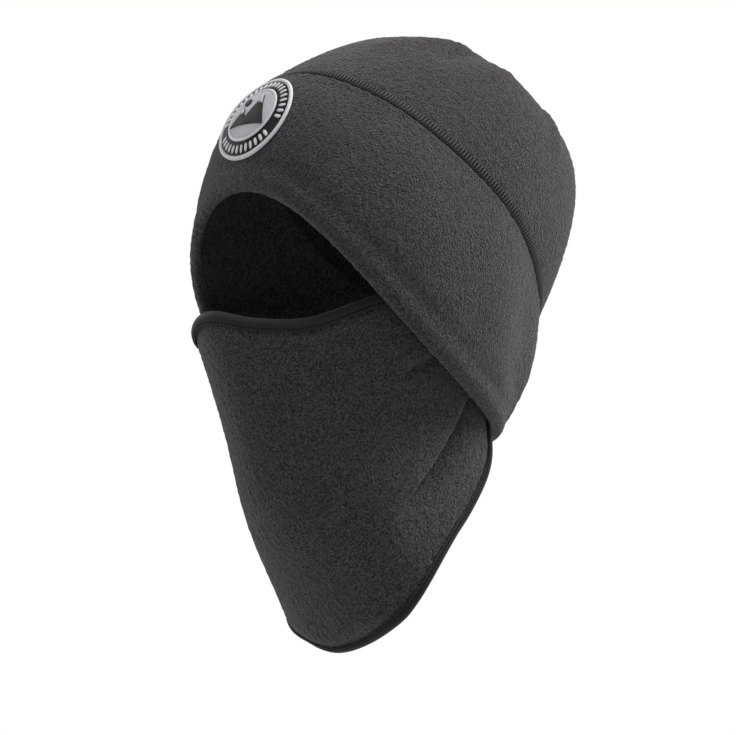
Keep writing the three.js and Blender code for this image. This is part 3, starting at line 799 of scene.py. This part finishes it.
def mask_ply(name, node, depth, ply, finish, columns, rows, seed):
    """One ply of the mask, from just inside one binding to just inside the other, drawn in by a
    bell along each binding's sewn edge."""
    turn = np.linspace(-MASK_WRAP, MASK_WRAP, columns)[:, None]
    share = np.linspace(0, 1, rows)[None]
    fall = mix(1.4 * edge_step(turn, True), 1 - 1.4 * edge_step(turn, False), share)
    down = np.minimum(fall / edge_step(turn, True), (1 - fall) / edge_step(turn, False))
    groove = 1.1 * hump(down, 6.2, 0.9)
    outer, inner = on_mask(turn, fall, depth + groove), on_mask(turn, fall, depth + ply)
    if depth:
        inner = tufted(inner, 0.12, 3.6, seed)
    else:
        outer = tufted(outer, 0.13, 3.2, seed)
    return put(name, *two_faced(outer, inner), finish, "mask", [node])


def along_edge(top, down, turn, depth, folds=1.0):
    """A place down millimetres from the mask's top edge, or up from its bottom edge."""
    step = edge_step(turn, top) * down
    return on_mask(turn, step if top else 1 - step, depth, folds)


def binding(name, node, top):
    """A strip folded over an edge: an outer and an inner squared-off half oval about the edges of
    the plies, pinched at the stitches, with a small pucker at each."""
    turn = evenly(lambda t: along_edge(top, 0, t, MIDDLE_DEPTH), -MASK_WRAP, MASK_WRAP, 0.7)
    far = length_of(along_edge(top, 0, turn, MIDDLE_DEPTH))[:, None]
    turn = turn[:, None]
    angle = np.linspace(0, np.pi, 19)[None]

    def face(half, tall):
        x, y = -np.cos(angle), np.sin(angle)
        side = np.sign(x) * np.abs(x) ** 0.75
        down = BINDING_HEIGHT - tall * np.abs(y) ** 0.75
        pinch = 0.5 + 0.2 * np.cos(2 * np.pi * far / STITCH_PITCH)
        swell = 0.6 * hump(down, 2.2, 1.8) - pinch * hump(down, STITCH_LINE, 0.8)
        return along_edge(top, down, turn, MIDDLE_DEPTH + side * (half + swell))

    outer = face(BINDING_HALF_DEPTH, BINDING_HEIGHT)
    inner = face(BINDING_HALF_DEPTH - BINDING_PLY, BINDING_HEIGHT - BINDING_PLY)
    cloth = np.stack(np.broadcast_arrays(far, angle * 5, 0 * angle), -1)
    return put(name, *two_faced(outer, inner), BINDING_KNIT, "mask", [node], np.concatenate([cloth, cloth]))


def edge_stitches(name, node, top):
    """A row of short stitches along a binding, each in its own pinch."""
    def line(t):
        return along_edge(top, STITCH_LINE, t, STITCH_DEPTH)

    at = evenly(line, -MASK_WRAP + 0.5, MASK_WRAP - 0.5, STITCH_PITCH)
    step = (at[-1] - at[0]) / (len(at) - 1)
    turn = at[:-1, None] + step * np.linspace(0.14, 0.86, 5)
    lines = line(turn)
    outs = outward(mask_face, turn, 0.03 if top else 0.97, -1)
    return put(name, *threads(lines, outs, 0.95, 0.8), DARK_THREAD, "mask", [node], weld=0.02)


mask_shell = mask_ply("mask_shell_cloth", "mask_shell", 0, SHELL_PLY, MASK_FLEECE, 310, 140, 7)
mask_lining = mask_ply(
    "mask_lining_cloth", "mask_lining", LINING_DEPTH, LINING_PLY, LINING_FLEECE, 220, 100, 8
)
top_binding = binding("mask_top_binding_strip", "mask_top_binding", True)
bottom_binding = binding("mask_bottom_binding_strip", "mask_bottom_binding", False)
edge_stitches("mask_top_stitches", "mask_top_stitch", True)
edge_stitches("mask_bottom_stitches", "mask_bottom_stitch", False)


def tack(name, sign, node):
    """A bar tack: a short round bundle from the band's inner face to the mask, ribbed by the
    cosine of eight times the angle, with rounded ends."""
    turn, out = sign * TACK_TURN, outward(hat_face, sign * TACK_TURN, TACK_RISE)
    middle = on_hat(turn, TACK_RISE, BAND_DEPTH + 0.5 + WING_GAP / 2)
    side = unit(np.cross([0.0, 0, 1], out))
    up = np.cross(out, side)
    angle, s = np.linspace(0, 2 * np.pi, 49)[:-1, None], np.linspace(-1, 1, 15)[None]
    radius = TACK_RADIUS * (1 + 0.09 * np.cos(8 * angle)) * np.sqrt(np.clip(1 - s**6, 0.0, 1))
    points = middle + (radius * np.cos(angle))[..., None] * side + (radius * np.sin(angle))[..., None] * up
    points = points + (s * (0.9 + 0 * angle))[..., None] * out
    return put(name, points, grid_faces(48, 15, ring=True), DARK_THREAD, "hat", [node], weld=0.01)


tack("tack_left_thread", 1, "tack_left")
tack("tack_right_thread", -1, "tack_right")


def size_label():
    """A blank woven label: a flat strip against the lining, whose lower corners curl inwards by
    the square of the distance down."""
    width, height = 24, 34
    c, r = np.linspace(-width / 2, width / 2, 25)[:, None], np.linspace(0, height, 35)[None]
    tall = band_tall(np.array([180.0]))[0]
    turn, rise = 180 - np.degrees(c / HEM_OVAL[1]), 0.35 + r / tall
    curl = 1.6 * (1 - r / height) ** 2
    faces = [on_hat(turn, rise, INSIDE_DEPTH + 0.3 + curl + d, 1.0) for d in (0, 0.4)]
    cloth = np.stack(np.broadcast_arrays(c, r, 0 * c), -1)
    cloth = np.concatenate([cloth, cloth])
    return put("size_label_strip", *two_faced(*faces), LABEL_SATIN, "hat", ["size_label"], cloth)


size_label()


def hem_stitches():
    """A row of stitches round the inside, which holds the hem's edge to the lining."""
    at = evenly(lambda t: on_hat(t, 0.16, BAND_DEPTH), -180, 180, 3.0)
    step = (at[-1] - at[0]) / (len(at) - 1)
    turn = at[:-1, None] + step * np.linspace(0.12, 0.88, 5)
    rise = HEM_STITCH_HEIGHT / band_tall(turn)
    lines = on_hat(turn, rise, BAND_DEPTH + band_dips(turn, HEM_STITCH_HEIGHT) + 0.1)
    points, faces = threads(lines, -outward(hat_face, turn, rise), 0.6, 0.5)
    return put("hem_stitches", points, faces, DARK_THREAD, "hat", weld=0.02)


hem_stitches()


def on_badge(across, up, lift):
    """A place on the badge: millimetres across and up from its middle, lifted off the band."""
    turn = np.degrees((BADGE_ACROSS + across) / (HEM_OVAL[1] + BAND_BULGE))
    tall = band_tall(np.array([0.0]))[0]
    rise = BADGE_RISE + up / tall
    return on_hat(turn, rise, band_dips(turn, rise * tall) - 0.3 - lift)


def badge_round(name, radius, lift, columns, finish, node, wrap=None, middle=(0, 0), clothed=False):
    """A round of the badge: radii and lifts from middle to rim and back, at every angle. wrap
    adds a thread's ridges, which slant across the rim."""
    angle = np.linspace(0, 2 * np.pi, columns + 1)[:-1, None]
    radius = np.asarray(radius, float)[None] + 0 * angle
    lift = np.asarray(lift, float)[None] + 0 * angle
    if wrap:
        ridge = np.abs(np.sin(wrap * angle / 2 + np.linspace(0, 2.4, radius.shape[1])[None]))
        centre, middle_lift = radius.mean(1, keepdims=True), lift.mean(1, keepdims=True)
        radius = centre + (radius - centre) * (0.84 + 0.2 * ridge)
        lift = middle_lift + (lift - middle_lift) * (0.84 + 0.2 * ridge)
    across, up = middle[0] + radius * np.cos(angle), middle[1] + radius * np.sin(angle)
    points = on_badge(across, up, lift)
    cloth = np.stack([across, up, 0 * up], -1) if clothed else None
    faces = grid_faces(columns, radius.shape[1], ring=True, loop=bool(wrap))
    return put(name, points, faces, finish, "hat", [node], cloth, 0 if wrap else 0.01)


def dome(radius, low, high, steps=12):
    """Radii and lifts of a flat-topped round: out along the top, over a rounded rim and back."""
    out = np.linspace(0, radius - 0.3, steps)
    rim = np.linspace(0, np.pi, 5)
    radii = np.concatenate([out, radius - 0.3 + 0.3 * np.sin(rim[1:-1]), out[::-1]])
    lifts = np.concatenate([high + 0 * out, mix(low, high, (1 + np.cos(rim[1:-1])) / 2), low + 0 * out])
    return radii, lifts


def rim_loop(radius, half, low, high, steps=14):
    """Radii and lifts of a rounded rim's closed section: an oval."""
    angle = np.linspace(0, 2 * np.pi, steps + 1)[:-1]
    return radius + half * np.cos(angle), mix(low, high, (1 + np.sin(angle)) / 2)


field_radius = INNER_RING_RADIUS - INNER_RING_WIDTH - 0.3
ground = dome(BADGE_RADIUS - BORDER_WIDTH, 0, 0.8, 24)
border = rim_loop(BADGE_RADIUS - 0.95, 1.05, 0, 1.7)
ring = rim_loop(INNER_RING_RADIUS - 0.65, 0.75, 0.8, 1.75, 10)
field, sun = dome(field_radius, 0.75, 1.45, 20), dome(2.4, 1.4, 2.1, 6)
badge_round("badge_ground_fill", *ground, 120, DARK_FILL, "badge_ground", clothed=True)
badge_round("badge_border_wraps", *border, 170 * 6, WHITE_THREAD, "badge_border", wrap=170)
badge_round("badge_inner_ring_wraps", *ring, 140 * 5, WHITE_THREAD, "badge_inner_ring", wrap=140)
badge_round("badge_field_fill", *field, 96, PALE_FILL, "badge_field", clothed=True)
badge_round("badge_sun_fill", *sun, 32, DARK_FILL, "badge_sun", middle=(-6.4, 7.2), clothed=True)


def badge_patch(name, across, low, high, lift, finish, nodes=()):
    """A patch of fill on the field between a lower and an upper line, each given by its height
    at places across, in shares of the field's radius. It is rounded off at its edges."""
    at = np.linspace(across[0], across[-1], 80)[:, None]
    r = np.linspace(0, 1, 16)[None]
    up = mix(np.interp(at, across, low), np.interp(at, across, high), r) * field_radius
    edge = np.sqrt(np.clip(1 - np.abs(2 * r - 1) ** 6, 0, 1))
    at = at * field_radius + 0 * r
    cloth = np.stack([at, up, 0 * up], -1)
    faces = [on_badge(at, up, lift + 0.6 * edge), on_badge(at, up, lift - 0.1 + 0 * edge)]
    return put(name, *two_faced(*faces), finish, "hat", nodes, np.concatenate([cloth, cloth]), weld=0.01)


RIDGE_ACROSS = [-0.84, -0.62, -0.44, -0.28, -0.16, 0.04, 0.24, 0.44, 0.64, 0.84]
RIDGE = [-0.5, -0.1, 0.22, -0.06, -0.14, 0.32, 0.78, 0.32, -0.08, -0.5]
badge_patch("badge_peaks_fill", RIDGE_ACROSS, [-0.5] * 10, RIDGE, 1.5, DARK_FILL, ["badge_peaks"])


def snow_cap(name, across, low, drop):
    """Snow on a peak, from a ragged lower line up to a little below the ridge."""
    high = np.interp(across, RIDGE_ACROSS, RIDGE) - drop
    return badge_patch(name, across, low, high, 2.0, PALE_FILL)


TALL_SNOW = [0.36, 0.34, 0.44, 0.34, 0.44, 0.34, 0.34]
LOW_SNOW = [0.0, -0.06, 0.06, -0.08, 0.0]
snow_cap("badge_tall_snow", [0.08, 0.14, 0.19, 0.24, 0.3, 0.35, 0.41], TALL_SNOW, 0.05)
snow_cap("badge_low_snow", [-0.54, -0.49, -0.44, -0.39, -0.34], LOW_SNOW, 0.03)


def badge_dashes():
    """A ring of plain satin dashes that point out from the badge's middle, in two runs."""
    angle = np.radians(np.concatenate([np.linspace(-6, 186, 21), np.linspace(216, 324, 12)]))[:, None]
    radius = np.linspace(*DASH_REACH, 7)[None]
    across, up = radius * np.cos(angle), radius * np.sin(angle)
    lines = on_badge(across, up, 1.0 + 0 * radius * angle)
    turn = np.degrees((BADGE_ACROSS + across) / (HEM_OVAL[1] + BAND_BULGE))
    outs = outward(hat_face, turn, BADGE_RISE + up / BAND_CLOTH)
    points, faces = threads(lines, outs, 1.9, 0.9)
    return put("badge_dashes", points, faces, WHITE_THREAD, "hat", weld=0.01)


badge_dashes()


def flat_stage(name, corners, colour):
    """A plain flat stage piece between four corners."""
    mesh = bpy.data.meshes.new(name)
    mesh.from_pydata(corners, [], [(0, 1, 2, 3)])
    made = bpy.data.materials.new(name)
    made.use_nodes = True
    shader = made.node_tree.nodes["Principled BSDF"]
    shader.inputs["Base Color"].default_value = (*colour, 1)
    shader.inputs["Roughness"].default_value = 0.9
    mesh.materials.append(made)
    piece = bpy.data.objects.new(name, mesh)
    bpy.context.scene.collection.objects.link(piece)
    return piece


flat_stage("floor", [(-6, -6, -0.32), (6, -6, -0.32), (6, 6, -0.32), (-6, 6, -0.32)], (0.5, 0.5, 0.5))

world = bpy.data.worlds.new("soft_white")
world.use_nodes = True
air = world.node_tree
seen, lit = air.nodes["Background"], air.nodes.new("ShaderNodeBackground")
for sky, strength in ((seen, 1.0), (lit, 0.38)):
    sky.inputs["Color"].default_value = (1, 1, 1, 1)
    sky.inputs["Strength"].default_value = strength
either = air.nodes.new("ShaderNodeMixShader")
air.links.new(air.nodes.new("ShaderNodeLightPath").outputs["Is Camera Ray"], either.inputs["Fac"])
air.links.new(lit.outputs["Background"], either.inputs[1])
air.links.new(seen.outputs["Background"], either.inputs[2])
air.links.new(either.outputs["Shader"], air.nodes["World Output"].inputs["Surface"])
bpy.context.scene.world = world
bpy.context.scene.view_settings.view_transform = "Standard"


def soft_light(name, place, size, power):
    """A square studio light at a place, turned to face the middle of the head."""
    lamp = bpy.data.lights.new(name, "AREA")
    lamp.size, lamp.energy = size, power
    piece = bpy.data.objects.new(name, lamp)
    piece.location = place
    piece.rotation_euler = (-Vector(place)).to_track_quat("-Z", "Y").to_euler()
    bpy.context.scene.collection.objects.link(piece)
    return piece


soft_light("key_light", (1.0, 0.5, 2.0), 0.9, 52)
soft_light("rim_light", (1.2, 1.9, 1.6), 0.7, 38)
soft_light("far_light", (-2.2, -0.6, 0.7), 0.7, 16)
soft_light("fill_light", (0.3, -2.3, 0.4), 1.2, 5)

azimuth, elevation, distance = np.radians(52.0), np.radians(-8.65), 1.6
lens = bpy.data.cameras.new("view")
lens.lens, lens.sensor_width = 151.7, 36
lens.shift_x, lens.shift_y = -0.010, -0.0444
camera = bpy.data.objects.new("view", lens)
camera.location = distance * Vector(
    (np.sin(azimuth) * np.cos(elevation), -np.cos(azimuth) * np.cos(elevation), np.sin(elevation))
)
camera.rotation_euler = (-camera.location).to_track_quat("-Z", "Y").to_euler()
bpy.context.scene.collection.objects.link(camera)
bpy.context.scene.camera = camera
